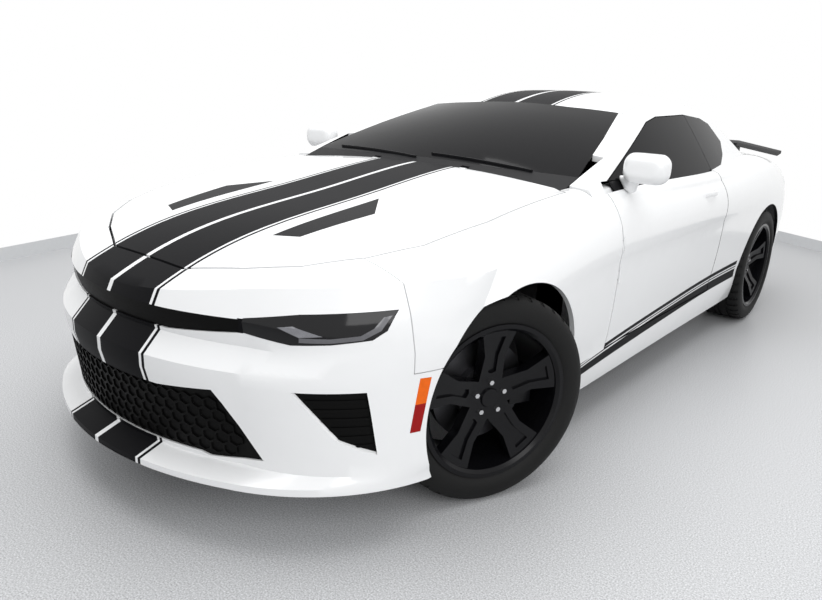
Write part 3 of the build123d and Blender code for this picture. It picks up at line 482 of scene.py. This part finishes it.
# Lower and upper edge, as x and z, of the light pipe and of the bright reflector
LIGHT_PIPE = (((0.640, 0.634), (0.705, 0.636), (0.764, 0.645), (0.791, 0.669), (0.800, 0.708)),
              ((0.640, 0.647), (0.704, 0.648), (0.759, 0.657), (0.778, 0.675), (0.788, 0.704)))
REFLECTOR = (((0.590, 0.672), (0.640, 0.648)), ((0.625, 0.678), (0.690, 0.654)))
PIPE_LIFT = 0.001
REFLECTOR_LIFT = 0.0015
PATCH_STEPS = 8             # rows of cells in a patch, and cells between two of its corners


def build_honeycomb():
    """Six-sided cells over the lower grille."""
    plate = surface_of("lower_grille")
    low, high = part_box("lower_grille")
    form = bmesh.new()
    radius = HEX_PITCH / sqrt(3)
    row_step = HEX_PITCH * sqrt(3) / 2
    inner_share = 1 - HEX_WALL
    for row in range(int((high.z - low.z) / row_step) + 2):
        for column in range(int((high.x - low.x) / HEX_PITCH) + 2):
            x = low.x + (column + row % 2 / 2) * HEX_PITCH
            z = low.z + row * row_step
            rings = []
            for share, lift in ((1, CELL_STAND), (inner_share, CELL_STAND), (inner_share, -CELL_SINK)):
                corners = [(x + radius * share * sin(turn * pi / 3), z + radius * share * cos(turn * pi / 3))
                           for turn in range(6)]
                rings.append([ahead_of(plate, *corner, lift) for corner in corners])
            if any(point is None for ring in rings for point in ring):
                continue
            rings = [[form.verts.new(point) for point in ring] for ring in rings]
            for outer, inner in zip(rings, rings[1:]):
                join_rings(form, outer, inner)
    bmesh.ops.remove_doubles(form, verts=form.verts, dist=CELL_WELD)
    end_form(form, "grille_honeycomb", grille_black_and_shade, "car_body", smooth_below=20)


def build_duct_slats():
    """Level slats across the two side ducts."""
    plate = surface_of("side_ducts")
    low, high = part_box("side_ducts")
    form = bmesh.new()
    for index in range(1, DUCT_SPACES):
        z = low.z + (high.z - low.z) * index / DUCT_SPACES
        span = [ahead_of(plate, SLAT_FROM_X + SLAT_STEP * step, z, CELL_STAND / 2)
                for step in range(SLAT_STEPS)]
        span = [point for point in span if point]
        if len(span) > 2:
            sweep(form, span, UP, Vector((0, -1, 0)), SLAT_HALF, CELL_STAND / 2)
    mirror_form(form)
    end_form(form, "duct_slats", grille_black_and_shade, "car_body")


def lay_patch(form, tree, low_edge, high_edge, lift):
    """A thin patch that follows a surface between two edges."""
    rows = []
    for row in range(PATCH_STEPS + 1):
        corners = [Vector(low).lerp(Vector(high), row / PATCH_STEPS)
                   for low, high in zip(low_edge, high_edge)]
        spread = [start.lerp(end, step / PATCH_STEPS) for start, end in zip(corners, corners[1:])
                  for step in range(PATCH_STEPS)] + corners[-1:]
        rows.append([ahead_of(tree, x, z, lift) for x, z in spread])
    points = [[place and form.verts.new(place) for place in row] for row in rows]
    for row, following in zip(points, points[1:]):
        for cell in zip(row, row[1:], following[1:], following):
            if all(cell):
                form.faces.new(cell)


def build_lamp_insides():
    """Light pipe along the lower edge of each headlamp, and the bright reflector in it."""
    lens = surface_of("headlamps")
    for name, edges, material, lift in (("lamp_light_pipes", LIGHT_PIPE, lamp_grey, PIPE_LIFT),
                                        ("lamp_reflectors", REFLECTOR, lamp_silver, REFLECTOR_LIFT)):
        form = bmesh.new()
        lay_patch(form, lens, *edges, lift)
        mirror_form(form)
        end_form(form, name, material, "car_body")


# Wheels

TYRE_HALF = {"front": 0.1225, "rear": 0.1375}  # half the width of a tyre
# Sidewall: how far in from the side, and radius
SIDEWALL = ((0.017, 0.2535), (0.012, 0.266), (0.004, 0.274), (0.001, 0.296), (0.002, 0.312), (0.006, 0.326))
SHOULDER = ((0.0125, 0.013), (0.022, 0.006))  # how far in from the side, and in from the full radius
# Tread: share of half the width, and 1 in a groove
TREAD = ((0.72, 0), (0.50, 0), (0.495, 1), (0.42, 1), (0.415, 0), (0.14, 0), (0.135, 1), (0.06, 1),
         (0.055, 0))
TREAD_BACK = 0.002          # the tread lies this far in from the full radius
GROOVE = 0.007
TREAD_STEPS = 120
CUT_EVERY = 3               # steps from one shoulder cut to the next
CUT_BAND = (0.5, 0.9)       # the cuts lie between these shares of half the width
CUT_REACH = 0.012           # and no further in from the full radius than this
CUT_RIM = 0.0006
CUT_DEPTH = 0.005

HUB_FRONT = 0.066
NUT_COUNT = 5
NUT_CIRCLE = 0.054
NUT_STAND = 0.004
NUT = dict(segments=6, radius1=0.0105, radius2=0.0085, depth=0.014)
CAP_STAND = 0.003
CAP = dict(segments=40, radius1=0.034, radius2=0.030, depth=0.008)
TO_STREET = Matrix.Rotation(pi / 2, 4, "Y")  # turns a cone's axis along the wheel's


def wheel_place(corner):
    """Where a wheel sits: its local X points out to the street."""
    joint = joints["wheel_spin_" + corner]
    outward = Vector(joint["axis"]) * (1 if corner.endswith("left") else -1)
    turn = Matrix((outward, UP.cross(outward), UP)).transposed()
    return Matrix.Translation(joint["pos_m"]) @ turn.to_4x4()


def build_tyre(corner):
    """Tyre with four grooves round it and cuts across its shoulders."""
    low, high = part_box("tyre_" + corner)
    radius = (high.z - low.z) / 2
    half = TYRE_HALF[corner.split("_")[0]]
    section = [(half - inset, height) for inset, height in SIDEWALL]
    section += [(half - inset, radius - drop) for inset, drop in SHOULDER]
    section += [(half * share, radius - TREAD_BACK - GROOVE * deep) for share, deep in TREAD]
    section += [(-x, height) for x, height in reversed(section)]
    form = bmesh.new()
    ring = [form.verts.new((x, 0, height)) for x, height in section]
    edges = [form.edges.new(pair) for pair in zip(ring, ring[1:])]
    bmesh.ops.spin(form, geom=ring + edges, cent=(0, 0, 0), axis=(1, 0, 0), angle=2 * pi, steps=TREAD_STEPS,
                   use_merge=True)
    bmesh.ops.recalc_face_normals(form, faces=form.faces)
    cuts = []
    for face in form.faces:
        middle = face.calc_center_median()
        round_axle = Vector((middle.y, middle.z))
        turned = round_axle.angle_signed(Vector((0, 1)), 0) / pi
        step = int(TREAD_STEPS * (1 + turned) / 2)
        on_shoulder = CUT_BAND[0] < abs(middle.x) / half < CUT_BAND[1]
        if on_shoulder and step % CUT_EVERY == 0 and round_axle.length > radius - CUT_REACH:
            cuts.append(face)
    bmesh.ops.inset_individual(form, faces=cuts, thickness=CUT_RIM)
    for face in cuts:
        outward = Vector((0, *face.calc_center_median().yz)).normalized() * CUT_DEPTH
        bmesh.ops.translate(form, vec=-outward, verts=face.verts)
    bmesh.ops.transform(form, matrix=wheel_place(corner), verts=form.verts)
    tyre = end_form(form, "tyre_tread_" + corner, tyre_rubber, "road_wheel_" + corner,
                    smooth_below=40)
    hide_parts("tyre_" + corner)


def build_wheel_nuts(corner):
    """Five bright nuts round a bare centre cap."""
    place = wheel_place(corner)
    body = "road_wheel_" + corner
    form = bmesh.new()
    for index in range(NUT_COUNT):
        angle = 2 * pi * index / NUT_COUNT
        at = Matrix.Translation((HUB_FRONT + NUT_STAND, NUT_CIRCLE * sin(angle), NUT_CIRCLE * cos(angle)))
        bmesh.ops.create_cone(form, cap_ends=True, matrix=place @ at @ TO_STREET, **NUT)
    end_form(form, "wheel_nuts_" + corner, bright_steel, body, smooth_below=20)
    form = bmesh.new()
    at = Matrix.Translation((HUB_FRONT + CAP_STAND, 0, 0)) @ TO_STREET
    bmesh.ops.create_cone(form, cap_ends=True, matrix=place @ at, **CAP)
    end_form(form, "centre_cap_" + corner, gloss_black, body)


# Doors and glass

HANDLE_Y = (0.215, 0.345)
HANDLE_Z = 0.878
HANDLE_STEPS = 10
HANDLE_SEAT = 0.004         # the ends of a handle stand this far off the door
HANDLE_BOW = 0.020          # and its middle this much further
HANDLE_HALF = (0.011, 0.006)
HANDLE_EDGE = 0.003

MIRROR_MIDDLE = (0.918, 1.042)  # x and z of the glass of the left mirror
MIRROR_OUTLINE = ((-0.055, -0.028), (-0.050, 0.036), (0.058, 0.036), (0.060, -0.028))
MIRROR_FROM_Y = 1
MIRROR_LIFT = 0.0015

# Foot and tip of each wiper, as x and y
WIPERS = (((0.54, -0.83), (0.02, -0.82)), ((-0.04, -0.86), (-0.58, -0.79)))
WIPER_STEPS = 8
WIPER_LIFT = 0.004
WIPER_HALF = (0.005, 0.004)


def build_door_handles():
    """A bowed pull on each door."""
    for side, sign in SIDES:
        skin = surface_of("door_" + side)
        form = bmesh.new()
        row = []
        for index in range(HANDLE_STEPS + 1):
            share = index / HANDLE_STEPS
            y = HANDLE_Y[0] + (HANDLE_Y[1] - HANDLE_Y[0]) * share
            lift = HANDLE_SEAT + HANDLE_BOW * (1 - (2 * share - 1) ** 4)
            row.append(met_from(skin, (sign * BESIDE_X, y, HANDLE_Z), (-sign, 0, 0), lift))
        sweep(form, row, UP, Vector((sign, 0, 0)), *HANDLE_HALF)
        round_edges(form, HANDLE_EDGE, 2)
        end_form(form, "door_handle_" + side, white_paint, "door_" + side)


def build_mirror_glass():
    """The silvered glass on the rear face of each mirror."""
    for side, sign in SIDES:
        housing = surface_of("mirror_" + side)
        form = bmesh.new()
        outline = [(sign * x, z) for x, z in MIRROR_OUTLINE]
        middle_x, middle_z = sign * MIRROR_MIDDLE[0], MIRROR_MIDDLE[1]
        corners = [met_from(housing, (middle_x + x, MIRROR_FROM_Y, middle_z + z), (0, -1, 0), MIRROR_LIFT)
                   for x, z in outline]
        form.faces.new([form.verts.new(corner) for corner in corners])
        end_form(form, "mirror_glass_" + side, mirror_silver, "door_" + side)


def build_wipers():
    """Two arms that lie along the foot of the windshield."""
    screen = surface_of("windshield", "cowl")
    form = bmesh.new()
    for foot, tip in WIPERS:
        row = []
        for index in range(WIPER_STEPS + 1):
            x = foot[0] + (tip[0] - foot[0]) * index / WIPER_STEPS
            y = foot[1] + (tip[1] - foot[1]) * index / WIPER_STEPS
            point = met_from(screen, (x, y, ABOVE_Z), (0, 0, -1), WIPER_LIFT)
            if point:
                row.append(point)
        sweep(form, row, Vector((0, 1, 0)), UP, *WIPER_HALF)
    end_form(form, "wipers", black_trim, "car_body")


# Seats

CLOTH_CELL = 0.012          # mesh of the seat covers before they are filled
CLOTH_FRAMES = 20
CLOTH_PRESSURE = 4.0
CLOTH_REACH = 0.012         # a cover swells no further than this
COVER_EDGE = 0.03           # radius of a cover's edges before it is filled
SEAM_DEPTH = 0.006
SEAM_SHARPNESS = 6
SEAM_TOP = 0.5              # the seams run in the top of a cover, above this share of half its height
SEAM_SPAN = 0.62            # and inside this share of half its width
UPRIGHT = Matrix.Rotation(pi / 2, 4, "X")

# Front seats: sizes of the covers and of what carries them; places are y and z, or heights along the back
SEAT_X = 0.375
CUSHION = (0.44, 0.53, 0.13)
BACKREST = (0.44, 0.64, 0.13)
HEADREST = (0.26, 0.17, 0.09)
STAND = (0.3, 0.38, 0.11)
POST = (0.12, 0.03, 0.12)
CUSHION_AT = (0.02, 0.391)
STAND_AT = (0.03, 0.281)
BACK_FOOT = (0.275, 0.376)
BACK_LEAN_DEG = -18
BACKREST_UP = 0.33
POST_UP = 0.62
HEADREST_UP = 0.70

# Rear bench: sizes and places in the same way
REAR_SEAT_X = 0.27
REAR_CUSHION = (0.50, 0.30, 0.10)
REAR_BACKREST = (0.50, 0.40, 0.10)
REAR_CUSHION_AT = (0.845, 0.42)
REAR_BACKREST_AT = (1.02, 0.65)


def swell(mesh):
    """Fills a closed cover by a short cloth simulation; returns its mesh."""
    scene = bpy.context.scene
    cover = new_object("seat_cover", mesh)
    cells = cover.modifiers.new("cells", "REMESH")
    cells.mode = "VOXEL"
    cells.voxel_size = CLOTH_CELL
    cover.data = bpy.data.meshes.new_from_object(cover.evaluated_get(bpy.context.evaluated_depsgraph_get()))
    cover.modifiers.clear()
    cloth = cover.modifiers.new("cloth", "CLOTH").settings
    cloth.use_pressure = True
    cloth.uniform_pressure_force = CLOTH_PRESSURE
    cloth.effector_weights.gravity = 0
    for step in range(1, CLOTH_FRAMES + 1):
        scene.frame_set(step)
    filled = bpy.data.meshes.new_from_object(cover.evaluated_get(bpy.context.evaluated_depsgraph_get()))
    for before, after in zip(cover.data.vertices, filled.vertices):
        move = after.co - before.co
        after.co = before.co + move * min(1, CLOTH_REACH / max(move.length, 1e-9))
    scene.frame_set(1)
    bpy.data.objects.remove(cover)
    return filled


def pad(size, seams):
    """A stuffed cover of a given size about the origin, with sewn channels across its top."""
    form = bmesh.new()
    bmesh.ops.create_cube(form, size=1)
    bmesh.ops.scale(form, vec=[length - 2 * CLOTH_REACH for length in size], verts=form.verts)
    round_edges(form, COVER_EDGE, 4)
    filled = swell(end_mesh(form, "seat_cover"))
    for vertex in filled.vertices:
        x, y, z = vertex.co
        across, along, up = 2 * x / size[0], 2 * y / size[1], 2 * z / size[2]
        if seams and up > SEAM_TOP and abs(across) < SEAM_SPAN:
            vertex.co.z -= SEAM_DEPTH * abs(cos(seams * pi * along / 2)) ** SEAM_SHARPNESS
    return filled


def add_padding(name, *pads):
    """One soft piece from stuffed covers, each with its place."""
    form = bmesh.new()
    for mesh, place in pads:
        placed = mesh.copy()
        placed.transform(place)
        form.from_mesh(placed)
        bpy.data.meshes.remove(placed)
    end_form(form, name, hide, "car_body", smooth_below=60)


def raised(height):
    """A place at a height along the back of a seat."""
    return Matrix.Translation((0, 0, height))


def build_front_seats():
    """Two bucket seats: stuffed cushion, back and headrest on a black stand."""
    cushion = pad(CUSHION, 3)
    back = pad(BACKREST, 3)
    headrest = pad(HEADREST, 0)
    for side, sign in SIDES:
        x = sign * SEAT_X
        lean = Matrix.Translation((x, *BACK_FOOT)) @ Matrix.Rotation(radians(BACK_LEAN_DEG), 4, "X")
        add_padding("seat_padding_" + side, (cushion, Matrix.Translation((x, *CUSHION_AT))),
                    (back, lean @ raised(BACKREST_UP) @ UPRIGHT),
                    (headrest, lean @ raised(HEADREST_UP) @ UPRIGHT))
        form = bmesh.new()
        for place, size in ((Matrix.Translation((x, *STAND_AT)), STAND), (lean @ raised(POST_UP), POST)):
            bmesh.ops.create_cube(form, size=1, matrix=place @ Matrix.Diagonal((*size, 1)))
        stand = end_form(form, "seat_stand_" + side, cabin_black, "car_body")
    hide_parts("front_seats")


def build_rear_padding():
    """Stuffed covers on the cushion and the back of the rear bench."""
    cushion = pad(REAR_CUSHION, 2)
    back = pad(REAR_BACKREST, 3)
    for side, sign in SIDES:
        x = sign * REAR_SEAT_X
        add_padding("rear_padding_" + side, (cushion, Matrix.Translation((x, *REAR_CUSHION_AT))),
                    (back, Matrix.Translation((x, *REAR_BACKREST_AT)) @ UPRIGHT))


OWN_FORM = {"front_seats"} | {"tyre_" + corner for corner in CORNERS}
for node in nodes:
    if node not in OWN_FORM:
        dress(node)
build_honeycomb()
build_duct_slats()
build_lamp_insides()
for corner in CORNERS:
    build_tyre(corner)
    build_wheel_nuts(corner)
build_door_handles()
build_mirror_glass()
build_wipers()
build_front_seats()
build_rear_padding()


# Studio: a floor that ends at the foot of the walls, a skirting there, and two soft lights

FLOOR_CORNERS = ((14.0, -4.0), (0.36, 4.58), (-6.42, 8.85), (-3.38, -1.48), (-6.0, -14.0), (14.0, -14.0))
WALL_CORNERS = 4            # of them, the first ones lie at the foot of a wall
SKIRTING_HALF = (0.10, 0.01)
SKIRTING_OUT = (0.6, -0.8, 0)
GLOW_COLOUR = (0.95, 0.96, 0.97, 1)
GLOW = 0.62
WALL_COLOUR = (1, 1, 1, 1)  # the walls, as the camera, reflections and the glass see them
WALL_GLOW = 1
# Name, place, what it points at, size and power
LIGHTS = (("ceiling_light", (0, -0.5, 5.0), (0, 0, 0), 6.0, 260),
          ("side_light", (5.0, -3.5, 3.2), (0.5, 0, 0.5), 3.5, 120))


def stage_piece(name, form, material):
    """Ends a bmesh as a piece of the studio."""
    bmesh.ops.recalc_face_normals(form, faces=form.faces)
    mesh = end_mesh(form, name)
    mesh.materials.append(material)
    return new_object(name, mesh)


def build_floor():
    """The floor and the skirting."""
    form = bmesh.new()
    form.faces.new([form.verts.new((x, y, 0)) for x, y in FLOOR_CORNERS])
    floor = stage_piece("studio_floor", form, finish("pale_floor", (0.50, 0.505, 0.515), 0.45, 210, 1.8))
    form = bmesh.new()
    foot = [Vector((x, y, 0)) for x, y in FLOOR_CORNERS[:WALL_CORNERS]]
    for start, end in zip(foot, foot[1:]):
        sweep(form, [start, end], UP, Vector(SKIRTING_OUT), *SKIRTING_HALF)
    grey = finish("skirting_grey", (0.62, 0.63, 0.64), 0.6, 30, 0.1)
    skirting = stage_piece("studio_skirting", form, grey)


def build_glow():
    """White walls all round, which light the car less than they look."""
    world = bpy.data.worlds.new("studio")
    bpy.context.scene.world = world
    world.use_nodes = True
    tree = world.node_tree
    background = tree.nodes["Background"]
    background.inputs["Color"].default_value = GLOW_COLOUR
    background.inputs["Strength"].default_value = GLOW
    seen = tree.nodes.new("ShaderNodeBackground")
    seen.inputs["Color"].default_value = WALL_COLOUR
    seen.inputs["Strength"].default_value = WALL_GLOW
    path = tree.nodes.new("ShaderNodeLightPath")
    rays = add_math(tree, "MAXIMUM", path.outputs["Is Camera Ray"], path.outputs["Is Glossy Ray"])
    rays = add_math(tree, "MAXIMUM", rays, path.outputs["Is Transmission Ray"])
    mix = tree.nodes.new("ShaderNodeMixShader")
    tree.links.new(rays, mix.inputs[0])
    tree.links.new(background.outputs[0], mix.inputs[1])
    tree.links.new(seen.outputs[0], mix.inputs[2])
    tree.links.new(mix.outputs[0], tree.nodes["World Output"].inputs["Surface"])


def build_lights():
    """A broad light in the ceiling and a smaller one beside the nose."""
    for name, place, aim, size, power in LIGHTS:
        lamp = bpy.data.lights.new(name, "AREA")
        lamp.shape = "SQUARE"
        lamp.size = size
        lamp.energy = power
        light = new_object(name, lamp)
        light.location = place
        light.rotation_euler = (Vector(aim) - Vector(place)).to_track_quat("-Z", "Y").to_euler()


def build_camera():
    """The camera of the photograph."""
    camera = bpy.data.cameras.new("photo_camera")
    camera.lens = LENS_MM
    camera.sensor_width = SENSOR_MM
    camera.clip_end = CLIP_END
    holder = new_object("photo_camera", camera)
    right, up = Vector(CAMERA_RIGHT), Vector(CAMERA_UP)
    turn = Matrix((right, up, right.cross(up))).transposed()
    holder.matrix_world = Matrix.Translation(CAMERA_AT) @ turn.to_4x4()
    bpy.context.scene.camera = holder


build_floor()
build_glow()
build_lights()
build_camera()
bpy.context.scene.view_settings.view_transform = "Standard"
